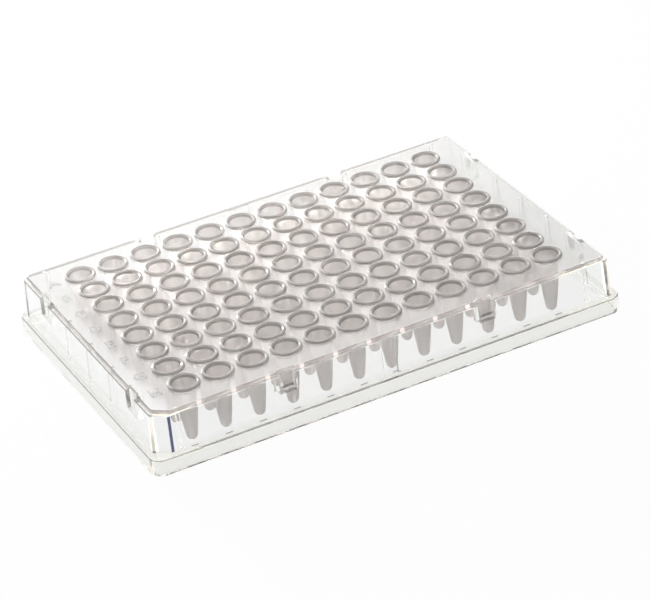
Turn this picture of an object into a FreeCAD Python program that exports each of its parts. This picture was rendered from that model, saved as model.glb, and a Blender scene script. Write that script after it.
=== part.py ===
# Skirted 96-well plate for PCR, a moulding in two plastics.
# A stiff glass-clear frame (deck, skirt and base flange in one piece) carries
# 96 thin frosted tubes, which are moulded into the holes of its deck.
# Millimetres, +Z up. The origin is the centre of the base, on the table.
# Columns 1 to 12 run along +X and rows A to H along -Y, so well A1 is at -X, +Y.
import FreeCAD, Part
import math
import os

V = FreeCAD.Vector

# The grid of wells
PITCH = 9.0
COLUMNS = 12
ROW_NAMES = "ABCDEFGH"

# Footprint of the base flange, the standard one for laboratory plates
FOOT_X = 127.76
FOOT_Y = 85.48
FOOT_CORNER_R = 3.18
FLANGE_HEIGHT = 4.2
FLANGE_SHELF = 0.8

# Heights above the table
RIM_TOP = 16.1
DECK_TOP = 15.3
LEDGE_TOP = 14.35
DECK_UNDERSIDE = 13.9

# Outer faces of the skirt, as half widths at its foot and at its top
SKIRT_FOOT = (62.2, 41.1)
SKIRT_TOP = (61.7, 40.8)
SKIRT_CORNER_R = 1.2
# The deck stands in from the top of the skirt by a narrow ledge
DECK_HALF = (60.9, 40.35)
WALL = 1.2
# The corner at well H1 is cut off: its length along X and along Y
CUT_CORNER = (3.5, 3.0)
EDGE_R = 0.25

# Grip pockets, two in each wall: where they are along the wall, their widths at
# the ledge and at the floor, the height of the floor and the depth of the back
LONG_POCKET = {"at": 27.1, "mouth": 4.1, "foot": 3.8, "floor": 10.4, "back": 39.4}
SHORT_POCKET = {"at": 26.7, "mouth": 5.1, "foot": 3.7, "floor": 9.75, "back": 60.2}
POCKET_WALL = 0.8

# Shallow groove down the middle of each long wall
GROOVE_WIDTH = 3.8
GROOVE_DEPTH = 0.3

# Upright ribs inside the skirt
RIB_WIDTH = 0.8
RIB_DEPTH = 0.8
SHORT_WALL_RIBS = (-13.2, 0.0, 13.2)
LONG_WALL_RIBS = (-55.3, 55.3)

# A tube, as radii and heights
TUBE_HOLE_R = 3.35
RIM_R = 4.0
MOUTH_R = 3.1
SHOULDER_R = 2.87
NECK_Z = 4.5
NECK_R = 1.82
TIP_R = 1.4
TIP_BOTTOM = 0.25
TUBE_WALL = 0.3
TIP_WALL = 0.4

# How far a cutting block runs past the surface that it opens,
# and how far a joined block reaches into the wall that carries it
PAST = 1.0
BITE = 0.6


def well_x(column):
    """X of a well's axis; columns count from 0."""
    return (column - (COLUMNS - 1) / 2) * PITCH


def well_y(row):
    """Y of a well's axis; rows count from 0, which is row A."""
    return ((len(ROW_NAMES) - 1) / 2 - row) * PITCH


def block(x, y, z):
    """A box between two corners, from (low, high) pairs along X, Y and Z."""
    size = [high - low for low, high in (x, y, z)]
    return Part.makeBox(*size, V(x[0], y[0], z[0]))


def outline(half, z, radius, cut=(0.0, 0.0)):
    """Closed wire of a rounded rectangle at height z; cut takes off the corner at H1."""
    hx, hy = half
    bend = radius * (1 - math.sqrt(0.5))
    corners = [(1, -1), (1, 1), (-1, 1)]
    if not any(cut):
        corners.append((-1, -1))
    edges = []
    points = []
    for i, (sx, sy) in enumerate(corners):
        along_x = V(sx * (hx - radius), sy * hy, z)
        along_y = V(sx * hx, sy * (hy - radius), z)
        middle = V(sx * (hx - bend), sy * (hy - bend), z)
        start, end = (along_x, along_y) if i % 2 == 0 else (along_y, along_x)
        if points:
            edges.append(Part.LineSegment(points[-1], start).toShape())
        edges.append(Part.Arc(start, middle, end).toShape())
        points += [start, end]
    if any(cut):
        points += [V(-hx, -hy + cut[1], z), V(-hx + cut[0], -hy, z)]
        edges.append(Part.LineSegment(points[-3], points[-2]).toShape())
        edges.append(Part.LineSegment(points[-2], points[-1]).toShape())
    edges.append(Part.LineSegment(points[-1], points[0]).toShape())
    return Part.Wire(edges)


def upright(half, low, high, radius, cut=(0.0, 0.0)):
    """Solid with upright sides between two heights."""
    face = Part.Face(outline(half, low, radius, cut))
    return face.extrude(V(0, 0, high - low))


def tapered(bottom, top):
    """Solid between two outlines of the same kind."""
    return Part.makeLoft([bottom, top], True, True)


def round_top_edges(solid, z, radius):
    """Round every edge of a solid that lies in the plane at height z."""
    edges = [e for e in solid.Edges if all(abs(v.Z - z) < 1e-6 for v in e.Vertexes)]
    return solid.makeFillet(radius, edges)


def inset(half, distance):
    """Half widths of an outline moved inwards."""
    return (half[0] - distance, half[1] - distance)


def inset_cut(cut, distance):
    """Size of a cut corner, once every side of its outline has moved inwards."""
    scale = 1 - distance * (sum(cut) - math.hypot(*cut)) / (cut[0] * cut[1])
    return tuple(scale * length for length in cut)


def flange_block():
    """Base flange, solid, with its upper edge rounded."""
    foot = (FOOT_X / 2, FOOT_Y / 2)
    return round_top_edges(upright(foot, 0, FLANGE_HEIGHT, FOOT_CORNER_R), FLANGE_HEIGHT, EDGE_R)


def skirt_block():
    """Skirt, solid: its walls lean in a little towards the top."""
    foot = outline(SKIRT_FOOT, FLANGE_HEIGHT - FLANGE_SHELF, SKIRT_CORNER_R, CUT_CORNER)
    top = outline(SKIRT_TOP, LEDGE_TOP, SKIRT_CORNER_R, CUT_CORNER)
    return round_top_edges(tapered(foot, top), LEDGE_TOP, EDGE_R)


def deck_block():
    """Raised top of the deck, inside the ledge."""
    deck = upright(DECK_HALF, DECK_UNDERSIDE, DECK_TOP, SKIRT_CORNER_R, CUT_CORNER)
    return round_top_edges(deck, DECK_TOP, EDGE_R)


def underside_cavity():
    """Space under the deck, inside the skirt and the flange."""
    foot = inset((FOOT_X / 2, FOOT_Y / 2), WALL)
    step = FLANGE_HEIGHT - FLANGE_SHELF
    corner = (SKIRT_CORNER_R / 2, inset_cut(CUT_CORNER, WALL))
    low = upright(foot, -PAST, step, FOOT_CORNER_R - WALL)
    high = tapered(
        outline(inset(SKIRT_FOOT, WALL), step - BITE, *corner),
        outline(inset(SKIRT_TOP, WALL), DECK_UNDERSIDE, *corner),
    )
    return low.fuse(high)


def wall_block(axis, side, along, half_width, depths, heights):
    """A box set square on a wall. The wall faces along an axis, X (0) or Y (1), on side -1 or 1.

    Depths are distances from the middle of the plate, and along is the box's place on the wall.
    """
    across = sorted(side * depth for depth in depths)
    lengthwise = (along - half_width, along + half_width)
    x, y = (across, lengthwise) if axis == 0 else (lengthwise, across)
    return block(x, y, heights)


def pocket_space(axis, side, along, size):
    """The space of a grip pocket, which widens from its floor up."""
    widening = (size["mouth"] - size["foot"]) / (LEDGE_TOP - size["floor"]) / 2
    top = DECK_TOP + PAST
    half_foot = size["foot"] / 2
    half_top = half_foot + widening * (top - size["floor"])

    def corner(across, height, depth):
        flat = (side * depth, along + across) if axis == 0 else (along + across, side * depth)
        return V(*flat, height)

    ends = [(-half_foot, size["floor"]), (half_foot, size["floor"]), (half_top, top), (-half_top, top)]
    back = [corner(*end, size["back"]) for end in ends]
    outwards = corner(*ends[0], SKIRT_FOOT[axis] + PAST) - back[0]
    return Part.Face(Part.makePolygon(back + back[:1])).extrude(outwards)


def pocket_backing(axis, side, along, size):
    """The block that closes a grip pocket from inside the skirt."""
    depths = (size["back"] - POCKET_WALL, SKIRT_TOP[axis] - BITE)
    heights = (size["floor"] - POCKET_WALL, DECK_UNDERSIDE + BITE)
    return wall_block(axis, side, along, size["mouth"] / 2 + POCKET_WALL, depths, heights)


def all_pockets():
    """The spaces and the backings of the eight grip pockets."""
    places = [
        (axis, side, end * size["at"], size)
        for axis, size in ((0, SHORT_POCKET), (1, LONG_POCKET))
        for side in (-1, 1)
        for end in (-1, 1)
    ]
    return [pocket_space(*place) for place in places], [pocket_backing(*place) for place in places]


def grooves():
    """Shallow upright grooves in the middle of both long walls."""
    depths = (SKIRT_TOP[1] - GROOVE_DEPTH, SKIRT_FOOT[1] + PAST)
    heights = (FLANGE_HEIGHT, LEDGE_TOP + PAST)
    return [wall_block(1, side, 0, GROOVE_WIDTH / 2, depths, heights) for side in (-1, 1)]


def ribs():
    """Thin upright ribs on the inner faces of the skirt."""
    heights = (FLANGE_HEIGHT, DECK_UNDERSIDE + BITE)
    made = []
    for axis, places in ((0, SHORT_WALL_RIBS), (1, LONG_WALL_RIBS)):
        inner_face = SKIRT_TOP[axis] - WALL
        depths = (inner_face - RIB_DEPTH, inner_face + BITE)
        for side in (-1, 1):
            made += [wall_block(axis, side, at, RIB_WIDTH / 2, depths, heights) for at in places]
    return made


def deck_holes():
    """A round hole through the deck for each tube."""
    length = DECK_TOP - DECK_UNDERSIDE + 2 * PAST
    return [
        Part.makeCylinder(TUBE_HOLE_R, length, V(well_x(c), well_y(r), DECK_UNDERSIDE - PAST))
        for r in range(len(ROW_NAMES))
        for c in range(COLUMNS)
    ]


def clear_frame():
    """Deck, skirt and flange: one clear moulding."""
    spaces, backings = all_pockets()
    shell = flange_block().multiFuse([skirt_block(), deck_block()]).cut(underside_cavity())
    shell = shell.multiFuse(backings + ribs())
    shell = shell.cut(Part.makeCompound(spaces + grooves() + deck_holes()))
    return shell.removeSplitter()


def tip_touch(r_top, z_top, ball_r, ball_z):
    """Where a cone from (r_top, z_top) meets, smoothly, a ball centred on the axis at ball_z."""
    rise = z_top - ball_z
    slant = math.atan2(r_top, rise) - math.asin(ball_r / math.hypot(r_top, rise))
    return (ball_r * math.cos(slant), ball_z - ball_r * math.sin(slant))


def ball_point(r, ball_r, ball_z):
    """The point of the ball's lower half at radius r."""
    return (r, ball_z - math.sqrt(ball_r**2 - r**2))


def tube():
    """One thin-walled tube on the Z axis: rounded rim, funnel mouth, long cone, round tip."""
    ball_z = TIP_BOTTOM + TIP_R
    inner_tip_r = TIP_R - TUBE_WALL
    inner_ball_z = TIP_BOTTOM + TIP_WALL + inner_tip_r
    rim_round = (RIM_R - MOUTH_R) / 2
    rim_z = RIM_TOP - rim_round
    throat = (SHOULDER_R - TUBE_WALL, DECK_UNDERSIDE)
    inner_neck = (NECK_R - TUBE_WALL, NECK_Z)
    outer_neck = (NECK_R, NECK_Z)
    inner_touch = tip_touch(*inner_neck, inner_tip_r, inner_ball_z)
    outer_touch = tip_touch(*outer_neck, TIP_R, ball_z)

    def at(point):
        return V(point[0], 0, point[1])

    def line(a, b):
        return Part.LineSegment(at(a), at(b)).toShape()

    def arc(a, middle, b):
        return Part.Arc(at(a), at(middle), at(b)).toShape()

    inner_bottom = (0, inner_ball_z - inner_tip_r)
    outer_bottom = (0, TIP_BOTTOM)
    mouth = (MOUTH_R, rim_z)
    rim_side = (RIM_R, rim_z)
    crown = ((MOUTH_R + RIM_R) / 2, RIM_TOP)
    collar = [rim_side, (RIM_R, DECK_TOP), (TUBE_HOLE_R, DECK_TOP), (TUBE_HOLE_R, DECK_UNDERSIDE)]
    shoulder = [collar[-1], (SHOULDER_R, DECK_UNDERSIDE), outer_neck, outer_touch]
    edges = [
        arc(inner_bottom, ball_point(inner_tip_r / 2, inner_tip_r, inner_ball_z), inner_touch),
        line(inner_touch, inner_neck),
        line(inner_neck, throat),
        line(throat, mouth),
        arc(mouth, crown, rim_side),
    ]
    for path in (collar, shoulder):
        edges += [line(a, b) for a, b in zip(path, path[1:])]
    edges.append(arc(outer_touch, ball_point(TIP_R / 2, TIP_R, ball_z), outer_bottom))
    edges.append(line(outer_bottom, inner_bottom))
    face = Part.Face(Part.Wire(edges))
    return face.revolve(V(0, 0, 0), V(0, 0, 1), 360)


def tube_row(one_tube, row):
    """The twelve tubes of one row, as separate solids."""
    return Part.makeCompound(
        [one_tube.translated(V(well_x(c), well_y(row), 0)) for c in range(COLUMNS)]
    )


def main():
    os.makedirs("parts", exist_ok=True)
    pieces = {"frame": clear_frame()}
    one_tube = tube()
    for row, name in enumerate(ROW_NAMES):
        pieces[f"well_row_{name}"] = tube_row(one_tube, row)
    for node, shape in pieces.items():
        shape.exportStep(f"parts/{node}.step")
        box = shape.optimalBoundingBox(False, False)
        print(
            f"{node}: {len(shape.Solids)} solids, valid {shape.isValid()}, {shape.Volume:.1f} mm3, "
            f"{box.XLength:.2f} x {box.YLength:.2f} x {box.ZLength:.2f} mm"
        )


main()
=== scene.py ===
# %% [markdown]
# # A skirted 96-well plate for PCR
#
# The plate is one moulding in two plastics. A stiff frame of clear polycarbonate
# makes the deck, the skirt and the base flange. Ninety-six thin tubes of frosted
# polypropylene are moulded into the holes of its deck.
#
# Everything here is in metres, in the same frame as the solid model: +Z up, the
# origin on the table at the middle of the base, column 1 at -X and row A at +Y.

# %% Load the solid model
import bmesh
import bpy
import math
from mathutils import Matrix, Vector


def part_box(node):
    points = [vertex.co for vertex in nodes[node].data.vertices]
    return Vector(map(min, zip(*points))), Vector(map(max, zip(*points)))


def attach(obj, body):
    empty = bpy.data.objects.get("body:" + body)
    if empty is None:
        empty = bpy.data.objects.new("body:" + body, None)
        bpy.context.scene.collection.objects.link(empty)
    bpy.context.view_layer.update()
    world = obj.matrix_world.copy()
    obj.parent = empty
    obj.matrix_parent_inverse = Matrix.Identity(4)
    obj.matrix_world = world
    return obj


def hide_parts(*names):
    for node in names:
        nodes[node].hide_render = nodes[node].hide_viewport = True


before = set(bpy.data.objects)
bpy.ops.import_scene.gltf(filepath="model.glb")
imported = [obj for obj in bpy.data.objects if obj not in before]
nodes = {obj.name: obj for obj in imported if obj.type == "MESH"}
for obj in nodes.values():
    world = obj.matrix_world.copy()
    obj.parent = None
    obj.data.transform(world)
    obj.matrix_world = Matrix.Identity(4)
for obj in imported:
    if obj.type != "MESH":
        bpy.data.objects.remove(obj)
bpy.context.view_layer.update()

MM = 0.001
rows = sorted(name for name in nodes if name.startswith("well_row_"))
print("nodes:", len(nodes), "rows of tubes:", len(rows))

# %% [markdown]
# ## Measure the plate
#
# Sizes come from the solid model wherever it holds them, so that the two can't
# drift apart. The box of a row of tubes gives the radius of the rims and the
# heights of rim and tip, and two neighbouring rows give the spacing of the wells.

# %% Measures
DECK_THICKNESS = 1.4 * MM

row_boxes = {name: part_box(name) for name in rows}
low, high = row_boxes[rows[0]]
rim_r = (high.y - low.y) / 2
rim_top = high.z
tip_bottom = low.z
row_y = {name: (box[0].y + box[1].y) / 2 for name, box in row_boxes.items()}
pitch = row_y[rows[0]] - row_y[rows[1]]
first_x = low.x + rim_r
columns = round((high.x - rim_r - first_x) / pitch) + 1
deck_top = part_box("frame")[1].z
deck_under = deck_top - DECK_THICKNESS
print("pitch", round(pitch / MM, 3), "columns", columns, "rim radius", round(rim_r / MM, 3))

# %% [markdown]
# ## One tube
#
# Each well is a thin cone of plastic with a round tip below and a raised rim
# above. It is a body of revolution. It could be cut from a solid with booleans or
# spun by a Screw modifier, but the first leaves uneven triangles and the second a
# seam. Here the lathe's work is written out: a profile in radius and height is
# turned about the axis. Its rings are even, which shades smoothly, and its two
# ends close to single points on the axis.
#
# The profile runs up the inside, over the half-round rim, down the collar that
# sits on the deck, through the deck, under the shoulder and down the outside.
# The collar and the plug stand a hair clear of the deck, so that no two faces
# share one place.

# %% Sizes of a tube
MOUTH_R = 3.1 * MM
HOLE_R = 3.35 * MM
SHOULDER_R = 2.87 * MM
NECK_Z = 4.5 * MM
NECK_R = 1.82 * MM
TIP_R = 1.4 * MM
WALL = 0.3 * MM
TIP_WALL = 0.4 * MM
RIM_EASE = 0.12 * MM  # the moulded easing at the foot of the rim
GAP = 0.015 * MM
print("cone leans in by", round((SHOULDER_R - NECK_R) / MM, 2), "mm below the deck")

# %% The profile of a tube
TIP_STEPS_INSIDE, TIP_STEPS_OUTSIDE, RIM_STEPS = 5, 7, 12


def arc(centre, radius, start, end, steps):
    """Points on an arc, from one angle to another, in degrees from the radius axis."""
    angles = [math.radians(start + (end - start) * i / steps) for i in range(steps + 1)]
    return [(centre[0] + radius * math.cos(a), centre[1] + radius * math.sin(a)) for a in angles]


def cone_and_ball(neck_r, ball_r, ball_z, steps):
    """From the pole of a round tip up to the neck, with the cone touching the ball."""
    rise = NECK_Z - ball_z
    lean = math.degrees(math.atan2(neck_r, rise) - math.asin(ball_r / math.hypot(neck_r, rise)))
    return arc((0, ball_z), ball_r, -90, -lean, steps) + [(neck_r, NECK_Z)]


def tube_profile():
    """Closed profile as (radius, height) points, from the inner pole to the outer pole."""
    ball_r = TIP_R - WALL
    ball_z = tip_bottom + TIP_WALL + ball_r
    inside = cone_and_ball(NECK_R - WALL, ball_r, ball_z, TIP_STEPS_INSIDE)
    throat = [(SHOULDER_R - WALL, deck_under)]
    round_r = (rim_r - MOUTH_R) / 2
    rim = arc((MOUTH_R + round_r, rim_top - round_r), round_r, 180, 0, RIM_STEPS)
    collar = [
        (rim_r, deck_top + GAP + RIM_EASE),
        (rim_r - RIM_EASE, deck_top + GAP),
        (HOLE_R - GAP, deck_top + GAP),
        (HOLE_R - GAP, deck_under),
        (SHOULDER_R, deck_under - GAP),
    ]
    outside = cone_and_ball(NECK_R, TIP_R, tip_bottom + TIP_R, TIP_STEPS_OUTSIDE)
    return inside + throat + rim + collar + outside[::-1]


profile = tube_profile()
print("profile points", len(profile), "from", profile[0], "to", profile[-1])

# %% Turn the profile on the lathe
SEGMENTS = 48
SHARP_FROM = math.radians(40)


def lathe(name, points, segments):
    """Turn a profile, whose ends lie on the Z axis, into a closed mesh."""
    turn = [2 * math.pi * s / segments for s in range(segments)]
    inner = points[1:-1]
    verts = [(0, 0, points[0][1]), (0, 0, points[-1][1])]
    verts += [(r * math.cos(a), r * math.sin(a), z) for r, z in inner for a in turn]
    faces = []
    for s in range(segments):
        after = (s + 1) % segments
        for ring in range(len(inner) - 1):
            here = 2 + ring * segments
            above = here + segments
            faces.append((here + s, above + s, above + after, here + after))
        last = 2 + (len(inner) - 1) * segments
        faces.append((0, 2 + s, 2 + after))
        faces.append((1, last + after, last + s))
    mesh = bpy.data.meshes.new(name)
    mesh.from_pydata(verts, [], faces)
    turned = bmesh.new()
    turned.from_mesh(mesh)
    bmesh.ops.recalc_face_normals(turned, faces=turned.faces)
    turned.to_mesh(mesh)
    turned.free()
    mesh.shade_smooth()
    mesh.set_sharp_from_angle(angle=SHARP_FROM)
    return mesh


tube_mesh = lathe("tube", profile, SEGMENTS)
print("faces in a tube:", len(tube_mesh.polygons))

# %% [markdown]
# ## Tools for materials
#
# Shader trees and Geometry Nodes trees are built the same way: add a node, set
# what it is, and connect its inputs. One function does that for both. Colours are
# easiest to choose as sRGB hex values, as in any paint program, but shaders count
# in linear light, so a second function turns one into the other.
#
# Every pattern is laid out in object coordinates, so it stays put on its piece,
# and its scale comes from a real size in millimetres. A colour is built up like
# paint: a ground, and layers that each cover it by a mask of their own. Many of
# the masks are Map Range nodes. Their inputs are a value, where it starts and ends,
# and what the node gives there, which is 0 and 1 unless it is stated.

# %% A node with its settings and links, and a colour


def add_node(tree, kind, inputs=(), **settings):
    """Add a node with its settings and links, and give it back.

    Inputs are in the node's own order, or in a dict by name or number. Each is a
    value, an output of another node, or a whole node, meaning its output in use.
    """
    node = tree.nodes.new(kind)
    for name, value in settings.items():
        setattr(node, name, value)
    by_socket = inputs.items() if isinstance(inputs, dict) else enumerate(inputs)
    for socket, value in by_socket:
        if isinstance(value, bpy.types.Node):
            value = next(output for output in value.outputs if output.enabled)
        if isinstance(value, bpy.types.NodeSocket):
            tree.links.new(value, node.inputs[socket])
        else:
            node.inputs[socket].default_value = value
    return node


def linear(hex_colour):
    """Turn an sRGB hex colour into the linear RGBA that shaders take."""
    channels = [int(hex_colour[i : i + 2], 16) / 255 for i in (1, 3, 5)]
    rgb = [c / 12.92 if c <= 0.04045 else ((c + 0.055) / 1.055) ** 2.4 for c in channels]
    return (*rgb, 1.0)


print("middle grey #808080 in linear light:", round(linear("#808080")[0], 3))

# %% A material, its patterns and its layers of colour


def new_material(name):
    """A material with an empty tree: (material, tree)."""
    material = bpy.data.materials.new(name)
    material.use_nodes = True
    material.node_tree.nodes.clear()
    return material, material.node_tree


def object_place(tree):
    """Object coordinates, in metres."""
    return add_node(tree, "ShaderNodeTexCoord").outputs["Object"]


def per_metre(size_in_mm):
    """Scale of a texture whose features have this size."""
    return 1 / (size_in_mm * MM)


def layered(tree, ground, layers):
    """A ground colour under layers of (mask, colour), the last one on top."""
    colour = linear(ground)
    for mask, cover in layers:
        over = {0: mask, 6: colour, 7: linear(cover)}  # of Mix: factor, colour A, colour B
        colour = add_node(tree, "ShaderNodeMix", over, data_type="RGBA")
    return colour


print("texture scale for grains of 0.25 mm:", round(per_metre(0.25)))

# %% [markdown]
# ## Frosted polypropylene
#
# The tubes are polypropylene, injection moulded with walls of 0.3 mm. It is a
# milky plastic: most of the light goes through it, blurred, and the rest is
# scattered back, so a tube looks warm grey against a white table. A volume that
# scatters would be nearest to the real one, but it is slow and grainy in walls so
# thin. A rough shader that transmits three quarters of the light gives the same
# to the eye. The rim above the deck is thicker and a little greyer, and its flanks
# are darker still by painted shade; the tube below the deck is a little greyer,
# also painted shade. A smooth coat gives the rim a glint.

# %% Polypropylene: the colour of milky plastic
CLOUD_SIZE = 2.5  # mm; faint uneven flow of the plastic
RIM_FROM = deck_top - 0.05 * MM
LOWER_TUBE = 13 * MM, 10 * MM
FLANK_SLOPE = 0.2, 0.5  # how far up the face of a flank looks, of 1


def milky_colour(tree, place, height, in_rim):
    """A warm near-white, a little greyer in the rim; painted shade makes it greyer low down and
    darkest on the rim's flanks.
    """
    cloud = add_node(
        tree, "ShaderNodeTexNoise", {"Vector": place, "Scale": per_metre(CLOUD_SIZE), "Detail": 2.0}
    )
    normal = add_node(tree, "ShaderNodeNewGeometry").outputs["Normal"]
    upward = add_node(tree, "ShaderNodeSeparateXYZ", [normal]).outputs["Z"]
    side_on = add_node(tree, "ShaderNodeMapRange", [upward, *FLANK_SLOPE, 1.0, 0.0])
    # Painted shade: the rim's faces that look sideways are drawn darkest.
    flank = add_node(tree, "ShaderNodeMath", [in_rim, side_on], operation="MULTIPLY")
    # Painted shade: the tube is drawn a little greyer below the deck.
    painted_low_shade = add_node(tree, "ShaderNodeMapRange", [height, *LOWER_TUBE])
    layers = [(cloud, "#FEFCFB"), (in_rim, "#E4E0DE"), (painted_low_shade, "#F8F5F4"), (flank, "#B6B1AE")]
    return layered(tree, "#FCF9F8", layers)


print("the rim's colour starts", round(RIM_FROM / MM, 2), "mm above the table")

# %% [markdown]
# ### Light between the tubes
#
# Between ninety-six tubes, light passes dozens of thin walls before it comes
# out. A path tracer cuts such a path off after twelve, which would leave the
# inner rows nearly black. More bounces would cure that at the price of time. The
# plastic closes the sum instead: from the fourth wall on it adds the mean light
# found there, by emission. It grows from the front of the plate to the back, where
# the window is, with more in the back rows and a little more in the columns at the
# right, and there is none near the tips.

# %% Polypropylene: the mean light after many walls
WALLS_FOLLOWED = 3.5, 4.0  # walls on the path of light, before the mean takes over
NONE_TO_FULL = 8 * MM, 13 * MM
FRONT_TO_BACK = -34 * MM, 34 * MM
LEVEL_INSIDE = 0.3, 0.65
BACK_ROWS = 22 * MM, 34 * MM
MORE_AT_BACK = 0.65
RIGHT_COLUMNS = 40 * MM, 50 * MM
MORE_AT_RIGHT = 0.1


def light_between(tree, x, y, height):
    """How much light a wall has from all the walls around it."""
    walls = add_node(tree, "ShaderNodeLightPath").outputs["Transmission Depth"]
    buried = add_node(tree, "ShaderNodeMapRange", [walls, *WALLS_FOLLOWED])
    upper = add_node(tree, "ShaderNodeMapRange", [height, *NONE_TO_FULL])
    inside = add_node(tree, "ShaderNodeMapRange", [y, *FRONT_TO_BACK, *LEVEL_INSIDE])
    by_back = add_node(tree, "ShaderNodeMapRange", [y, *BACK_ROWS, 0.0, MORE_AT_BACK])
    by_right = add_node(tree, "ShaderNodeMapRange", [x, *RIGHT_COLUMNS, 0.0, MORE_AT_RIGHT])
    sides = add_node(tree, "ShaderNodeMath", [by_back, by_right], operation="ADD")
    mean = add_node(tree, "ShaderNodeMath", [inside, sides], operation="ADD")
    reach = add_node(tree, "ShaderNodeMath", [buried, upper], operation="MULTIPLY")
    return add_node(tree, "ShaderNodeMath", [reach, mean], operation="MULTIPLY")


print("mean light from front to back:", LEVEL_INSIDE, "and up to", MORE_AT_BACK, "more")

# %% [markdown]
# ### The finish of the tubes
#
# The mould leaves a fine even grain on the plastic, which blurs what is seen
# through it. Real displacement would need millions of faces, so a weak bump stands
# for it, and the same grain makes the roughness a little uneven. Polypropylene has
# an index of refraction of 1.49.

# %% Polypropylene
GRAIN_SIZE = 0.25  # mm; coarser than the real grain, so that it shows at all
GRAIN_DEPTH = 0.03 * MM


def polypropylene_moulded():
    """Milky moulded plastic: satin and warm grey, with a glossier, darker rim, and painted shade on
    the rim's flanks and low down.
    """
    material, tree = new_material("polypropylene_moulded_frosted")
    place = object_place(tree)
    x, y, height = add_node(tree, "ShaderNodeSeparateXYZ", [place]).outputs
    in_rim = add_node(tree, "ShaderNodeMath", [height, RIM_FROM], operation="GREATER_THAN")
    grain = add_node(
        tree, "ShaderNodeTexNoise", {"Vector": place, "Scale": per_metre(GRAIN_SIZE), "Detail": 3.0}
    )
    looks = {
        "Base Color": milky_colour(tree, place, height, in_rim),
        "Normal": add_node(
            tree, "ShaderNodeBump", {"Height": grain, "Strength": 0.12, "Distance": GRAIN_DEPTH}
        ),
        "Roughness": add_node(tree, "ShaderNodeMapRange", [grain, 0.0, 1.0, 0.7, 0.8]),
        "Transmission Weight": 0.75,
        "IOR": 1.49,
        "Coat Weight": in_rim,
        "Coat Roughness": 0.12,
        "Emission Color": linear("#FBFAF6"),
        "Emission Strength": light_between(tree, x, y, height),
    }
    shader = add_node(tree, "ShaderNodeBsdfPrincipled", looks)
    add_node(tree, "ShaderNodeOutputMaterial", [shader])
    return material


frosted = polypropylene_moulded()
print(frosted.name, "nodes:", len(frosted.node_tree.nodes))

# %% [markdown]
# ## Eight rows of tubes
#
# The ninety-six tubes are all alike. They could be copied one by one or with an
# Array modifier, but what repeats is plainer as Geometry Nodes: a line of points,
# one spacing apart, with the tube placed on each. Named inputs hold the tube, how
# many there are, the spacing and where the row starts, so one tree serves all
# eight rows. It ends by making the copies real and giving them their plastic.

# %% The Geometry Nodes tree of a row


def row_tree():
    """A row of equal pieces along +X."""
    tree = bpy.data.node_groups.new("row_of_tubes", "GeometryNodeTree")
    for name, kind in (
        ("Tube", "NodeSocketObject"),
        ("Count", "NodeSocketInt"),
        ("Spacing", "NodeSocketFloat"),
        ("Start", "NodeSocketVector"),
        ("Material", "NodeSocketMaterial"),
    ):
        tree.interface.new_socket(name, in_out="INPUT", socket_type=kind)
    tree.interface.new_socket("Geometry", in_out="OUTPUT", socket_type="NodeSocketGeometry")
    given = add_node(tree, "NodeGroupInput").outputs
    step = add_node(tree, "ShaderNodeCombineXYZ", [given["Spacing"]])
    line = add_node(
        tree,
        "GeometryNodeMeshLine",
        {"Count": given["Count"], "Start Location": given["Start"], "Offset": step},
        mode="OFFSET",
    )
    tube = add_node(tree, "GeometryNodeObjectInfo", [given["Tube"]]).outputs["Geometry"]
    placed = add_node(tree, "GeometryNodeInstanceOnPoints", {"Points": line, "Instance": tube})
    real = add_node(tree, "GeometryNodeRealizeInstances", [placed])
    dressed = add_node(
        tree, "GeometryNodeSetMaterial", {"Geometry": real, "Material": given["Material"]}
    )
    add_node(tree, "NodeGroupOutput", [dressed])
    return tree


tree = row_tree()
print("sockets of a row:", [socket.name for socket in tree.interface.items_tree])

# %% An object made by the tree


def run_tree(name, tree, values):
    """Make an object by a Geometry Nodes tree, as a plain mesh with no modifier left."""
    piece = bpy.data.objects.new(name, bpy.data.meshes.new(name))
    bpy.context.scene.collection.objects.link(piece)
    modifier = piece.modifiers.new("nodes", "NODES")
    modifier.node_group = tree
    for socket in tree.interface.items_tree:
        if socket.in_out == "INPUT":
            modifier[socket.identifier] = values[socket.name]
    graph = bpy.context.evaluated_depsgraph_get()
    made = bpy.data.meshes.new_from_object(piece.evaluated_get(graph), depsgraph=graph)
    piece.modifiers.clear()
    piece.data = made
    made.name = name
    return piece


# %% Make the rows
tube_mesh.materials.append(frosted)
pattern = bpy.data.objects.new("tube_pattern", tube_mesh)
bpy.context.scene.collection.objects.link(pattern)
for node in rows:
    piece = run_tree(
        node.replace("well_row", "tubes"),
        tree,
        {
            "Tube": pattern,
            "Count": columns,
            "Spacing": pitch,
            "Start": (first_x, row_y[node], 0),
            "Material": frosted,
        },
    )
    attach(piece, "root")
    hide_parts(node)
    print(piece.name, "faces", len(piece.data.polygons))
bpy.data.objects.remove(pattern)

# %% [markdown]
# ## Clear polycarbonate
#
# The frame is polycarbonate, moulded against polished steel: as clear as glass,
# with a high index of refraction of 1.585, so its edges flash dark and bright. A
# shader that only transmits does part of that by itself; the finer lines are
# painted light and shade. The mould of the deck is textured, so what lies under
# the deck is veiled while the skirt stays clear. Two materials could share the
# frame, but it is one moulding, so one material tells the two finishes apart: by
# height, and by how far a face looks up or down.

# %% Polycarbonate: where a place on the frame is


def region(tree, *tests):
    """A mask: 1 where every test holds, and 0 elsewhere.

    A test is a value, a Math operation and its limits. COMPARE takes a middle and
    how far the region goes to each side of it.
    """
    holds = [
        add_node(tree, "ShaderNodeMath", [value, *limits], operation=operation)
        for value, operation, *limits in tests
    ]
    mask = holds[0]
    for test in holds[1:]:
        mask = add_node(tree, "ShaderNodeMath", [mask, test], operation="MULTIPLY")
    return mask


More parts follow.
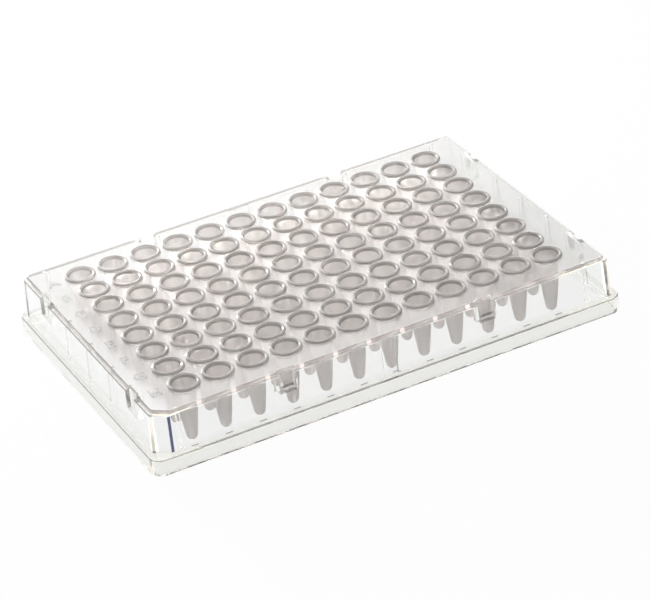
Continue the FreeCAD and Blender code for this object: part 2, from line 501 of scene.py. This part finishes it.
def from_nearest(tree, value, first, spacing):
    """Distance from the nearest of a row of places, negative before it."""
    shifted = add_node(tree, "ShaderNodeMath", [value, -first], operation="ADD")
    half = spacing / 2
    return add_node(tree, "ShaderNodeMath", [shifted, half, -half], operation="WRAP")


print("places of wells repeat every", round(pitch / MM, 3), "mm")

# %% Polycarbonate: front corners, floors of the front pockets, and the cut corner
CORNERS_FROM_X, CORNERS_TO_Y = 50 * MM, -36 * MM
POCKET_X, POCKET_HALF = 27.1 * MM, 2.2 * MM
FLOOR_Z, FLOOR_HALF = 10.0 * MM, 0.65 * MM
FRONT_WALL_Y = -39.2 * MM
CUT_X, CUT_LEAN, CUT_HALF = -58.25 * MM, 0.023, 0.37 * MM  # it leans in as it rises
CUT_Z, CUT_HALF_HEIGHT, CUT_TO_Y = 9.3 * MM, 4.8 * MM, -40 * MM


def front_places(tree, x, y, height, aside):
    """Masks of the front corners, the floors of the front pockets, and the cut corner."""
    corners = region(
        tree, (aside, "GREATER_THAN", CORNERS_FROM_X), (y, "LESS_THAN", CORNERS_TO_Y)
    )
    pocket_floors = region(
        tree,
        (aside, "COMPARE", POCKET_X, POCKET_HALF),
        (height, "COMPARE", FLOOR_Z, FLOOR_HALF),
        (y, "LESS_THAN", FRONT_WALL_Y),
    )
    middle = add_node(
        tree, "ShaderNodeMath", [height, CUT_LEAN, CUT_X], operation="MULTIPLY_ADD"
    )
    cut_corner = region(
        tree,
        (x, "COMPARE", middle, CUT_HALF),
        (height, "COMPARE", CUT_Z, CUT_HALF_HEIGHT),
        (y, "LESS_THAN", CUT_TO_Y),
    )
    return corners, pocket_floors, cut_corner


print("front pockets at", round(POCKET_X / MM, 1), "mm on each side of the middle")

# %% Polycarbonate: the textured deck
DECK_FACES = deck_under - 0.1 * MM, deck_under - 0.05 * MM
LEVEL_FACES = 0.9, 0.98  # how far a face looks up or down, of 1
POLISHED = {"Roughness": 0.015, "Transmission Weight": 1.0}
TEXTURED = {"Roughness": 0.15, "Transmission Weight": 0.86}


def textured_deck(tree, height, level):
    """A mask of the deck's two textured faces."""
    on_deck = add_node(tree, "ShaderNodeMapRange", [height, *DECK_FACES])
    faces_up = add_node(tree, "ShaderNodeMapRange", [level, *LEVEL_FACES])
    return add_node(tree, "ShaderNodeMath", [on_deck, faces_up], operation="MULTIPLY")


print("roughness", POLISHED["Roughness"], "polished and", TEXTURED["Roughness"], "textured")

# %% [markdown]
# ### Light guided in the walls
#
# Light that enters the walls is guided along them, as in a light pipe, and comes
# out at the edges. A path tracer follows only four mirror reflections, so from the
# third on the plastic adds the rest by emission: a weak warm light, rosier and
# brighter at the front of the deck, weaker in the flange, a little yellow at the
# front corners, and none in the floors of the front grip pockets.

# %% Polycarbonate: guided light
MIRRORS_FOLLOWED = 2.0, 3.0  # mirror reflections on the path of light
IN_DECK = 13.2 * MM, 13.9 * MM
WALL_LEVEL, DECK_LEVEL, CORNER_LEVEL = 0.22, 0.16, 0.5
FRONT_OF_DECK = -34 * MM, -38 * MM
MORE_AT_FRONT = 0.38
OUT_OF_FLANGE = 4.2 * MM, 5 * MM
FLANGE_SHARE = 0.4


def guided_light(tree, y, height, in_deck, corners, pocket_floors):
    """Strength of the light that the walls guide."""
    mirrors = add_node(tree, "ShaderNodeLightPath").outputs["Glossy Depth"]
    trapped = add_node(tree, "ShaderNodeMapRange", [mirrors, *MIRRORS_FOLLOWED])
    level = add_node(tree, "ShaderNodeMapRange", [in_deck, 0.0, 1.0, WALL_LEVEL, DECK_LEVEL])
    at_front = add_node(tree, "ShaderNodeMapRange", [y, *FRONT_OF_DECK, 0.0, MORE_AT_FRONT])
    front = add_node(tree, "ShaderNodeMath", [at_front, in_deck], operation="MULTIPLY")
    lit = add_node(tree, "ShaderNodeMath", [level, front], operation="ADD")
    share = add_node(tree, "ShaderNodeMapRange", [height, *OUT_OF_FLANGE, FLANGE_SHARE, 1.0])
    spread = add_node(tree, "ShaderNodeMath", [lit, share], operation="MULTIPLY")
    yellow = add_node(tree, "ShaderNodeMath", [corners, CORNER_LEVEL], operation="MULTIPLY")
    brighter = add_node(tree, "ShaderNodeMath", [spread, yellow], operation="MAXIMUM")
    strength = add_node(tree, "ShaderNodeMath", [trapped, brighter], operation="MULTIPLY")
    open_wall = add_node(tree, "ShaderNodeMath", [1.0, pocket_floors], operation="SUBTRACT")
    return add_node(tree, "ShaderNodeMath", [strength, open_wall], operation="MULTIPLY")


print("guided light in the walls", WALL_LEVEL, "in the deck", DECK_LEVEL)

# %% [markdown]
# ### Painted light and shade along the moulded edges
#
# Moulded edges gather what is around them into lines finer than a millimetre.
# Caustics would find them after hours of rays. They are painted instead, as painted
# light and shade, where the shape puts them:
#
# - bright spots on the deck's front edge before each column of tubes, which focus
#   the light like lenses, and bright upright edges at the front corners;
# - grey on the rounded edges, which turn the light aside;
# - a short dark dash beside each column at the foot of the wall;
# - the dark floors and ends of the grip pockets and the foot of the middle
#   groove, seen edge on;
# - a dark line where the flange meets the table, and a blue-black one in the cut
#   corner, which acts as a prism.

# %% Polycarbonate: painted highlights on the edges
FOCUS_SHIFT, FOCUS_HALF, FOCUS_LEVEL = 0.2 * MM, 0.6 * MM, 0.3
DECK_EDGE_Z, DECK_EDGE_HALF, DECK_EDGE_Y = 14.7 * MM, 0.6 * MM, -40.2 * MM
LAST_FOCUS_X = 30 * MM
UPRIGHT_X, UPRIGHT_Y, UPRIGHT_LEVEL = 61.0 * MM, -37.4 * MM, 0.4
UPRIGHT_Z, UPRIGHT_HALF_HEIGHT = 9.3 * MM, 4.6 * MM


def painted_edge_light(tree, x, y, height, aside):
    """Strength of the painted highlights where the front edges gather light."""
    before_well = from_nearest(tree, x, first_x - FOCUS_SHIFT, pitch)
    focus = region(
        tree,
        (before_well, "COMPARE", 0.0, FOCUS_HALF),
        (height, "COMPARE", DECK_EDGE_Z, DECK_EDGE_HALF),
        (y, "LESS_THAN", DECK_EDGE_Y),
        (x, "LESS_THAN", LAST_FOCUS_X),
    )
    upright = region(
        tree,
        (aside, "GREATER_THAN", UPRIGHT_X),
        (y, "LESS_THAN", UPRIGHT_Y),
        (height, "COMPARE", UPRIGHT_Z, UPRIGHT_HALF_HEIGHT),
    )
    focus = add_node(tree, "ShaderNodeMath", [focus, FOCUS_LEVEL], operation="MULTIPLY")
    upright = add_node(tree, "ShaderNodeMath", [upright, UPRIGHT_LEVEL], operation="MULTIPLY")
    return add_node(tree, "ShaderNodeMath", [focus, upright], operation="MAXIMUM")


print("light gathered before a well", FOCUS_LEVEL, "and at a corner", UPRIGHT_LEVEL)

# %% Polycarbonate: painted shade on the rounded edges
OFF_WALL, OFF_TOP = (0.12, 0.25), (0.99, 0.96)  # how far a face looks up or down, of 1
FACING_FRONT = -0.1, -0.3
FLANGE_GREY = 0.04, 1.0  # how grey on the other sides, and on the front
TOP_GREY = 0.85, 0.1


def rounded_edges(tree, level):
    """A mask of the faces between upright and level."""
    leaves_wall = add_node(tree, "ShaderNodeMapRange", [level, *OFF_WALL])
    leaves_top = add_node(tree, "ShaderNodeMapRange", [level, *OFF_TOP])
    return add_node(tree, "ShaderNodeMath", [leaves_wall, leaves_top], operation="MULTIPLY")


def painted_edge_shade(tree, height, forward, rounded):
    """How much painted shade a rounded edge gets: at the front mostly the flange, elsewhere the
    top.
    """
    front = add_node(tree, "ShaderNodeMapRange", [forward, *FACING_FRONT])
    on_flange = add_node(tree, "ShaderNodeMapRange", [front, 0.0, 1.0, *FLANGE_GREY])
    on_top = add_node(tree, "ShaderNodeMapRange", [front, 0.0, 1.0, *TOP_GREY])
    upper = add_node(tree, "ShaderNodeMath", [height, deck_under / 2], operation="GREATER_THAN")
    either = {0: upper, 2: on_flange, 3: on_top}  # of Mix: factor, value A, value B
    grey = add_node(tree, "ShaderNodeMix", either, data_type="FLOAT")
    return add_node(tree, "ShaderNodeMath", [rounded, grey], operation="MULTIPLY")


print("edges count as rounded from", OFF_WALL[0], "to", OFF_TOP[0])

# %% Polycarbonate: painted dark lines
DASH_SHIFT, DASH_HALF, LAST_DASH_X = 3.0 * MM, 0.95 * MM, 50 * MM
DASH_Z, DASH_HALF_HEIGHT, DASH_Y = 4.35 * MM, 0.1 * MM, -40.45 * MM
BASE_LINE_TOP, BASE_LINE_Y = 0.28 * MM, -42.6 * MM
END_Y, END_HALF, END_SPACING = -30.15 * MM, 1.0 * MM, 53.4 * MM
END_FROM_Z, END_FROM_X, END_SHIFT = 14.2 * MM, 60 * MM, 0.4 * MM
GROOVE_X, GROOVE_HALF, GROOVE_Y = -0.85 * MM, 1.85 * MM, -42.2 * MM
FLOOR_SHARE, BASE_SHARE, END_SHARE = 0.7, 0.75, 0.8  # how dark, of 1


def painted_dark_lines(tree, x, y, height, rounded, pocket_floors):
    """How dark the painted shade is in the fine lines of the front and the side walls."""
    beside_well = from_nearest(tree, x, first_x - DASH_SHIFT, pitch)
    dashes = region(
        tree,
        (beside_well, "COMPARE", 0.0, DASH_HALF),
        (height, "COMPARE", DASH_Z, DASH_HALF_HEIGHT),
        (y, "LESS_THAN", DASH_Y),
        (x, "LESS_THAN", LAST_DASH_X),
    )
    base_line = region(tree, (height, "LESS_THAN", BASE_LINE_TOP), (y, "LESS_THAN", BASE_LINE_Y))
    shifted = add_node(tree, "ShaderNodeMath", [x, END_SHIFT], operation="ADD")
    to_side = add_node(tree, "ShaderNodeMath", [shifted], operation="ABSOLUTE")
    pocket_ends = region(
        tree,
        (from_nearest(tree, y, END_Y, END_SPACING), "COMPARE", 0.0, END_HALF),
        (height, "GREATER_THAN", END_FROM_Z),
        (to_side, "GREATER_THAN", END_FROM_X),
    )
    groove_foot = region(
        tree, (x, "COMPARE", GROOVE_X, GROOVE_HALF), (y, "LESS_THAN", GROOVE_Y)
    )
    darkest = dashes
    for mark, share in (
        (groove_foot, rounded),
        (base_line, BASE_SHARE),
        (pocket_ends, END_SHARE),
        (pocket_floors, FLOOR_SHARE),
    ):
        dark = add_node(tree, "ShaderNodeMath", [mark, share], operation="MULTIPLY")
        darkest = add_node(tree, "ShaderNodeMath", [darkest, dark], operation="MAXIMUM")
    return darkest


print("ends of side pockets every", round(END_SPACING / MM, 1), "mm")

# %% [markdown]
# ### The finish of the frame
#
# A steel mould is polished by hand, so its faces are a little wavy, and the
# polycarbonate takes that on. A weak bump with waves of 7 mm gives the eye slow
# bends in what is seen through the skirt, which perfectly flat faces lack.

# %% Polycarbonate
WAVE_SIZE = 7.0  # mm
WAVE_DEPTH = 0.05 * MM
IN_FLANGE = 4.6 * MM, 4.1 * MM


def polycarbonate_polished():
    """Clear moulded plastic: glossy walls, a frosted deck, light guided inside, and painted light
    and shade on its edges.
    """
    material, tree = new_material("polycarbonate_moulded_polished")
    place = object_place(tree)
    x, y, height = add_node(tree, "ShaderNodeSeparateXYZ", [place]).outputs
    normal = add_node(tree, "ShaderNodeNewGeometry").outputs["Normal"]
    facing = add_node(tree, "ShaderNodeSeparateXYZ", [normal]).outputs
    level = add_node(tree, "ShaderNodeMath", [facing["Z"]], operation="ABSOLUTE")
    aside = add_node(tree, "ShaderNodeMath", [x], operation="ABSOLUTE")
    in_deck = add_node(tree, "ShaderNodeMapRange", [height, *IN_DECK])
    in_flange = add_node(tree, "ShaderNodeMapRange", [height, *IN_FLANGE])
    textured = textured_deck(tree, height, level)
    rounded = rounded_edges(tree, level)
    corners, pocket_floors, cut_corner = front_places(tree, x, y, height, aside)
    guided = guided_light(tree, y, height, in_deck, corners, pocket_floors)
    gathered = painted_edge_light(tree, x, y, height, aside)
    layers = [
        (textured, "#FAF9F8"),
        (in_flange, "#F6F7F3"),
        # Painted shade: grey on the rounded edges.
        (painted_edge_shade(tree, height, facing["Y"], rounded), "#6E6A68"),
        # Painted shade: dashes by the columns, pocket floors and ends, the groove's foot and the
        # line along the base.
        (painted_dark_lines(tree, x, y, height, rounded, pocket_floors), "#2E2A28"),
        # Painted shade: a blue-black line in the cut corner, where it acts as a prism.
        (cut_corner, "#14143A"),
    ]
    wave = add_node(
        tree, "ShaderNodeTexNoise", {"Vector": place, "Scale": per_metre(WAVE_SIZE), "Detail": 1.0}
    )
    looks = {
        "Base Color": layered(tree, "#FBFCFB", layers),
        "Normal": add_node(
            tree, "ShaderNodeBump", {"Height": wave, "Strength": 0.04, "Distance": WAVE_DEPTH}
        ),
        "IOR": 1.585,
        "Emission Color": layered(tree, "#F3ECE6", [(in_deck, "#F0DDD8"), (corners, "#F3EFDC")]),
        # Painted light: the glow of the walls' guided light, and painted highlights on the front
        # edges.
        "Emission Strength": add_node(
            tree, "ShaderNodeMath", [guided, gathered], operation="MAXIMUM"
        ),
    }
    for socket in POLISHED:
        ends = [textured, 0.0, 1.0, POLISHED[socket], TEXTURED[socket]]
        looks[socket] = add_node(tree, "ShaderNodeMapRange", ends)
    shader = add_node(tree, "ShaderNodeBsdfPrincipled", looks)
    add_node(tree, "ShaderNodeOutputMaterial", [shader])
    return material


clear = polycarbonate_polished()
frame_mesh = nodes["frame"].data
frame_mesh.materials.clear()
frame_mesh.materials.append(clear)
print("frame faces:", len(frame_mesh.polygons))
print(clear.name, "nodes:", len(clear.node_tree.nodes))

# %% [markdown]
# ## Row letters
#
# The letters of the rows stand in faint relief on the deck, left of column 1. A
# bump could draw them, but their sides catch the light, so they are real forms.
# Text objects draw them. Each is made a mesh before it is put in its place, and
# all eight are joined into one piece of the same clear plastic.

# %% Letters A to H
LETTER_HEIGHT = 3.3 * MM
CAPITALS = 0.73  # height of a capital in Blender's font, for text of size 1
LETTER_X = -56.75 * MM
LETTER_RISE = 0.5 * MM
RELIEF = 0.22 * MM
BEVEL = 0.08 * MM


def letter_mesh(letter, place):
    """One raised letter as a mesh, its middle at a place on the deck."""
    text = bpy.data.curves.new(letter, "FONT")
    text.body = letter
    text.size = LETTER_HEIGHT / CAPITALS
    text.align_x = "CENTER"
    text.extrude = RELIEF / 2 - BEVEL
    text.bevel_depth = BEVEL
    holder = bpy.data.objects.new(letter, text)
    mesh = bpy.data.meshes.new_from_object(holder)
    bpy.data.objects.remove(holder)
    mesh.transform(Matrix.Translation(place - Vector((0, LETTER_HEIGHT / 2, 0))))
    return mesh


def row_letters():
    """The eight letters in one mesh, sunk a hair into the deck."""
    joined = bmesh.new()
    for node in rows:
        at = Vector((LETTER_X, row_y[node] + LETTER_RISE, deck_top + RELIEF / 2 - GAP))
        joined.from_mesh(letter_mesh(node[-1], at))
    mesh = bpy.data.meshes.new("row_letters")
    joined.to_mesh(mesh)
    joined.free()
    mesh.materials.append(clear)
    return mesh


letters = bpy.data.objects.new("row_letters", row_letters())
bpy.context.scene.collection.objects.link(letters)
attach(letters, "root")
print("letters:", len(letters.data.polygons), "faces")

# %% [markdown]
# ## Camera
#
# A long lens from a low front-left corner, turned a few degrees about its own
# axis. It could be placed by hand or follow a target by a constraint. Here its
# place is worked out from where it looks, how far off it is, and two angles, so
# that each number says one thing.

# %% Camera
LOOK_AT = Vector((0.3, -5.54, 8.0)) * MM
DISTANCE = 0.7858
AZIMUTH = math.radians(-23.33)
ELEVATION = math.radians(30.14)
ROLL = math.radians(-7.0)
SENSOR = 36.0
LENS = 174.9
NEAREST, FARTHEST = 0.01, 20

back = Vector(
    (
        math.sin(AZIMUTH) * math.cos(ELEVATION),
        -math.cos(AZIMUTH) * math.cos(ELEVATION),
        math.sin(ELEVATION),
    )
)
camera = bpy.data.objects.new("camera", bpy.data.cameras.new("camera"))
bpy.context.scene.collection.objects.link(camera)
camera.data.sensor_width = SENSOR
camera.data.lens = LENS
camera.location = LOOK_AT + back * DISTANCE
level_turn = (-back).to_track_quat("-Z", "Y").to_matrix().to_4x4()
rolled = level_turn @ Matrix.Rotation(ROLL, 4, "Z")
camera.matrix_world = Matrix.Translation(camera.location) @ rolled
camera.data.clip_start = NEAREST
camera.data.clip_end = FARTHEST
bpy.context.scene.camera = camera
print("camera at", [round(v, 4) for v in camera.matrix_world.translation])

# %% [markdown]
# ## Table
#
# The plate stands on a plain white table, a sheet of matt paper a hair below its
# base, which leaves a fine dark line of contact, deepened by painted shade at the
# foot of the flange. Paper under lamps alone would be uneven. Seen directly, the
# table is drawn almost at its own full white; seen through the plate, a fifth of
# its brightness comes from the lamps, which keeps the soft shadow of the plate. It
# is part of the stage and not of the plate.

# %% White paper
FIBRE_SIZE = 1.5  # mm
OWN_WHITE = 0.97, 0.8  # share of full white seen directly, and through the plastic


def seen_ray(tree):
    """1 for what the camera sees directly, in a reflection or through the plastic."""
    path = add_node(tree, "ShaderNodeLightPath").outputs
    ways = [path["Is Camera Ray"], path["Is Glossy Ray"]]
    shiny = add_node(tree, "ShaderNodeMath", ways, operation="MAXIMUM")
    ways = [shiny, path["Is Transmission Ray"]]
    return add_node(tree, "ShaderNodeMath", ways, operation="MAXIMUM")


def white_table():
    """Matt white paper with the soft shadow kept."""
    material, tree = new_material("paper_matt_white")
    fibre = add_node(
        tree, "ShaderNodeTexNoise", {"Vector": object_place(tree), "Scale": per_metre(FIBRE_SIZE)}
    )
    matt = add_node(
        tree, "ShaderNodeBsdfDiffuse", {"Color": layered(tree, "#F6F6F6", [(fibre, "#FAFAFA")])}
    )
    glow = add_node(tree, "ShaderNodeEmission", {"Color": (1, 1, 1, 1), "Strength": 1.0})
    through = add_node(tree, "ShaderNodeLightPath").outputs["Is Transmission Ray"]
    white = add_node(tree, "ShaderNodeMapRange", [through, 0.0, 1.0, *OWN_WHITE])
    share = add_node(tree, "ShaderNodeMath", [seen_ray(tree), white], operation="MULTIPLY")
    both = add_node(tree, "ShaderNodeMixShader", [share, matt, glow])
    add_node(tree, "ShaderNodeOutputMaterial", [both])
    return material


paper = white_table()
print(paper.name, "nodes:", len(paper.node_tree.nodes))

# %% Table
TABLE_SIZE = 3.0
TABLE_GAP = 0.05 * MM


def table_top():
    """A flat sheet under the plate."""
    half = TABLE_SIZE / 2
    mesh = bpy.data.meshes.new("table")
    corners = [(-half, -half), (half, -half), (half, half), (-half, half)]
    mesh.from_pydata([(x, y, -TABLE_GAP) for x, y in corners], [], [(0, 1, 2, 3)])
    mesh.materials.append(paper)
    return mesh


table = bpy.data.objects.new("table", table_top())
bpy.context.scene.collection.objects.link(table)
print("table:", TABLE_SIZE, "m wide,", round(TABLE_GAP / MM, 2), "mm below the plate")

# %% [markdown]
# ## World
#
# The room is white, with a low bright window behind the plate. It is dimmer at
# both ends and on the near side, so the flanks of the rims and the clear walls
# have something grey to reflect. A ready-made sky would light it too, but worked
# out from the direction alone, each part of the room has a name and a level. What is
# seen in the plastic or through it is a little stronger than the light the room
# casts, and the backdrop itself is plain white.

# %% World
# Where each part starts and ends, along one axis of a direction of length 1, and its
# level at either end.
OVERHEAD = 0.5, 0.8, 1.0, 1.05
NEAR_SIDE = -0.8, -0.1, 0.3, 1.0
ENDS = 0.3, 0.75, 1.0, 0.25
WINDOW_BEHIND = 0.2, 0.7, 0.0, 1.4
WINDOW_LOW = 0.4, 0.15
CAST, SEEN = 0.8, 1.0


def studio_world():
    """A white room, with a low bright window at the back and dim on the other sides."""
    world = bpy.data.worlds.new("studio")
    world.use_nodes = True
    tree = world.node_tree
    tree.nodes.clear()
    direction = add_node(tree, "ShaderNodeTexCoord").outputs["Generated"]
    across, depth, rise = add_node(tree, "ShaderNodeSeparateXYZ", [direction]).outputs
    sideways = add_node(tree, "ShaderNodeMath", [across], operation="ABSOLUTE")
    around = add_node(tree, "ShaderNodeMapRange", [rise, *OVERHEAD])
    for value, levels in ((depth, NEAR_SIDE), (sideways, ENDS)):
        dimmer = add_node(tree, "ShaderNodeMapRange", [value, *levels])
        around = add_node(tree, "ShaderNodeMath", [around, dimmer], operation="MULTIPLY")
    behind = add_node(tree, "ShaderNodeMapRange", [depth, *WINDOW_BEHIND])
    low = add_node(tree, "ShaderNodeMapRange", [rise, *WINDOW_LOW])
    window = add_node(tree, "ShaderNodeMath", [behind, low], operation="MULTIPLY")
    level = add_node(tree, "ShaderNodeMath", [around, window], operation="ADD")
    fill = add_node(tree, "ShaderNodeMapRange", [seen_ray(tree), 0.0, 1.0, CAST, SEEN])
    indirect = add_node(tree, "ShaderNodeMath", [level, fill], operation="MULTIPLY")
    direct = add_node(tree, "ShaderNodeLightPath").outputs["Is Camera Ray"]
    backdrop = {0: direct, 2: indirect, 3: 1.0}  # of Mix: factor, value A, value B
    strength = add_node(tree, "ShaderNodeMix", backdrop, data_type="FLOAT")
    sky = add_node(tree, "ShaderNodeBackground", {"Color": (1, 1, 1, 1), "Strength": strength})
    add_node(tree, "ShaderNodeOutputWorld", [sky])
    return world


bpy.context.scene.world = studio_world()
print("light cast by the room:", CAST, "of what is seen of it")

# %% [markdown]
# ## Lamps
#
# Four soft lamps, all weak beside the white room. A sun or a point would draw
# hard glints, so each lamp is a panel. A long one stands low behind the plate and
# shines through the skirt. A softbox hangs over the back half. A narrow panel
# stands where the middle of the frosted deck mirrors it, which lifts the deck out
# of the grey of the tubes under it. A small lamp far behind, near the table,
# leaves one glint on each round rim.

# %% Lamps


def softbox(name, place, width, height, watts):
    """A rectangular lamp that faces the plate."""
    lamp = bpy.data.lights.new(name, "AREA")
    lamp.shape = "RECTANGLE"
    lamp.size = width
    lamp.size_y = height
    lamp.energy = watts
    holder = bpy.data.objects.new(name, lamp)
    bpy.context.scene.collection.objects.link(holder)
    turn = (-place).to_track_quat("-Z", "Y").to_matrix().to_4x4()
    holder.matrix_world = Matrix.Translation(place) @ turn


for name, place, width, height, watts in (
    ("back_panel", (0.05, 0.24, 0.075), 0.45, 0.12, 0.05),
    ("overhead_softbox", (0.03, 0.09, 0.14), 0.1, 0.1, 0.035),
    ("deck_panel", (0.1, 0.24, 0.165), 0.14, 0.03, 0.013),
    ("glint_lamp", (-0.075, 0.31, 0.055), 0.016, 0.016, 1.8),
):
    softbox(name, Vector(place), width, height, watts)
    print(name, "gives", watts, "W")

# %% [markdown]
# ## Finish
#
# The plain Standard view shows the colours as they were chosen.

# %% Finish
scene = bpy.context.scene
scene.view_settings.view_transform = "Standard"
